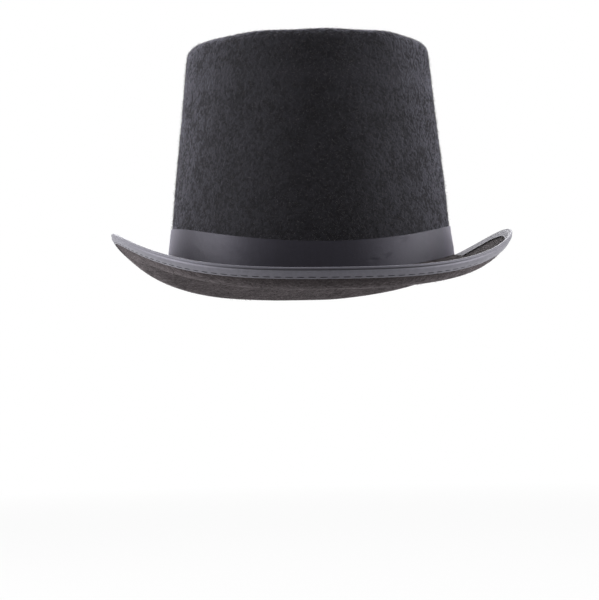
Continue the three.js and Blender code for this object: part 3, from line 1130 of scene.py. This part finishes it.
def dress_wire(frame):
    steel = steel_finish()
    for name in ("brim_wire", "wire_joiner"):
        for place in frame["nodes"][name].material_slots:
            place.material = steel


def hat(frame):
    dress_crown()
    dress_brim()
    dress_loose()
    thread = thread_finish()
    dress_ribbon(thread)
    dress_binding(thread)
    dress_sweatband(thread)
    dress_wire(frame)


# Stage

CAMERA_SPOT = (-0.1335, -1.2443, -0.0323)
CAMERA_LOOK = (0.09999, 0.99472, 0.02333)
CAMERA_ROLL = math.radians(-1.056)
CAMERA_LENS = 109.15  # millimetres
FILM_WIDTH = 36  # millimetres
LAMP_AIM = (0, 0, 0.08)
EVEN_LIGHT = 0.14
FLOOR_LEVEL = -0.27
FLOOR_WHITE = 0.8  # share of white under the hat
FLOOR_FADE = 0.5, 1.8  # out from the middle, where it starts to turn whiter and where it ends


def camera():
    data = bpy.data.cameras.new("camera")
    data.sensor_fit = "HORIZONTAL"
    data.sensor_width = FILM_WIDTH
    data.lens = CAMERA_LENS
    item = bpy.data.objects.new("camera", data)
    turn = Vector(CAMERA_LOOK).to_track_quat("-Z", "Y").to_matrix().to_4x4()
    roll = Matrix.Rotation(CAMERA_ROLL, 4, "Z")
    item.matrix_world = Matrix.Translation(CAMERA_SPOT) @ turn @ roll
    bpy.context.scene.collection.objects.link(item)
    bpy.context.scene.camera = item


def lamp(name, spot, size, power):
    """A soft rectangular lamp, aimed at the hat's middle."""
    data = bpy.data.lights.new(name, "AREA")
    data.shape = "RECTANGLE"
    data.size, data.size_y = size
    data.energy = power
    item = bpy.data.objects.new(name, data)
    turn = (Vector(LAMP_AIM) - Vector(spot)).to_track_quat("-Z", "Y").to_matrix().to_4x4()
    item.matrix_world = Matrix.Translation(spot) @ turn
    bpy.context.scene.collection.objects.link(item)


def lamps():
    lamp("softbox_left", spot=(-1.15, -0.05, 0.24), size=(0.8, 0.7), power=20)
    lamp("softbox_right", spot=(1.14, -0.19, 0.22), size=(0.95, 0.7), power=17)
    lamp("softbox_back", spot=(0, 1.0, 0.9), size=(1.4, 0.7), power=17)
    lamp("softbox_top", spot=(0, -0.2, 1.4), size=(1.2, 0.6), power=6)


def seen_share(tree):
    """1 for rays from the camera, or off glossy or through clear things; 0 for light on things."""
    path = tree.nodes.new("ShaderNodeLightPath")
    first = tree.nodes.new("ShaderNodeMath")
    second = tree.nodes.new("ShaderNodeMath")
    first.operation = second.operation = "MAXIMUM"
    tree.links.new(path.outputs["Is Camera Ray"], first.inputs[0])
    tree.links.new(path.outputs["Is Glossy Ray"], first.inputs[1])
    tree.links.new(first.outputs[0], second.inputs[0])
    tree.links.new(path.outputs["Is Transmission Ray"], second.inputs[1])
    return second.outputs[0]


def surroundings():
    """Plain white where it is seen, and a soft even light on the hat."""
    world = bpy.data.worlds.new("studio")
    bpy.context.scene.world = world
    world.use_nodes = True
    tree = world.node_tree
    light = tree.nodes["Background"]
    seen = tree.nodes.new("ShaderNodeBackground")
    for background, strength in ((light, EVEN_LIGHT), (seen, 1.0)):
        background.inputs["Color"].default_value = (1, 1, 1, 1)
        background.inputs["Strength"].default_value = strength
    mixer = tree.nodes.new("ShaderNodeMixShader")
    tree.links.new(seen_share(tree), mixer.inputs[0])
    tree.links.new(light.outputs[0], mixer.inputs[1])
    tree.links.new(seen.outputs[0], mixer.inputs[2])
    tree.links.new(mixer.outputs[0], tree.nodes["World Output"].inputs["Surface"])


def floor_finish():
    """Pale grey where light falls on it, and mostly white where it is seen, all white far out."""
    material = bpy.data.materials.new("pale_floor")
    material.use_nodes = True
    tree = material.node_tree
    tree.nodes.clear()
    cloth = tree.nodes.new("ShaderNodeBsdfDiffuse")
    cloth.inputs["Color"].default_value = (0.6, 0.6, 0.6, 1)
    white = tree.nodes.new("ShaderNodeEmission")
    where = tree.nodes.new("ShaderNodeTexCoord")
    reach = tree.nodes.new("ShaderNodeVectorMath")
    reach.operation = "LENGTH"
    fade = tree.nodes.new("ShaderNodeMapRange")
    fade.inputs["From Min"].default_value, fade.inputs["From Max"].default_value = FLOOR_FADE
    fade.inputs["To Min"].default_value = FLOOR_WHITE
    share = tree.nodes.new("ShaderNodeMath")
    share.operation = "MULTIPLY"
    mixer = tree.nodes.new("ShaderNodeMixShader")
    end = tree.nodes.new("ShaderNodeOutputMaterial")
    tree.links.new(where.outputs["Object"], reach.inputs[0])
    tree.links.new(reach.outputs["Value"], fade.inputs["Value"])
    tree.links.new(fade.outputs[0], share.inputs[0])
    tree.links.new(seen_share(tree), share.inputs[1])
    tree.links.new(share.outputs[0], mixer.inputs[0])
    tree.links.new(cloth.outputs[0], mixer.inputs[1])
    tree.links.new(white.outputs[0], mixer.inputs[2])
    tree.links.new(mixer.outputs[0], end.inputs["Surface"])
    return material


def floor():
    """A round floor below the hat, which keeps a trace of its shadow."""
    sides = 96
    angle = np.arange(sides) * TURN / sides
    rings = np.array([0.0, 0.3, 0.6, 1.0, 1.6, 2.4, 3.2])
    points = oval_point(angle[:, None], rings[None, :], FLOOR_LEVEL, 0)
    piece = surface("floor", points, (np.arange(sides + 1) / sides, rings), around=True)
    piece.data.materials.append(floor_finish())


def main():
    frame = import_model()
    bpy.context.scene.view_settings.view_transform = "Standard"
    hat(frame)
    camera()
    lamps()
    surroundings()
    floor()


main()
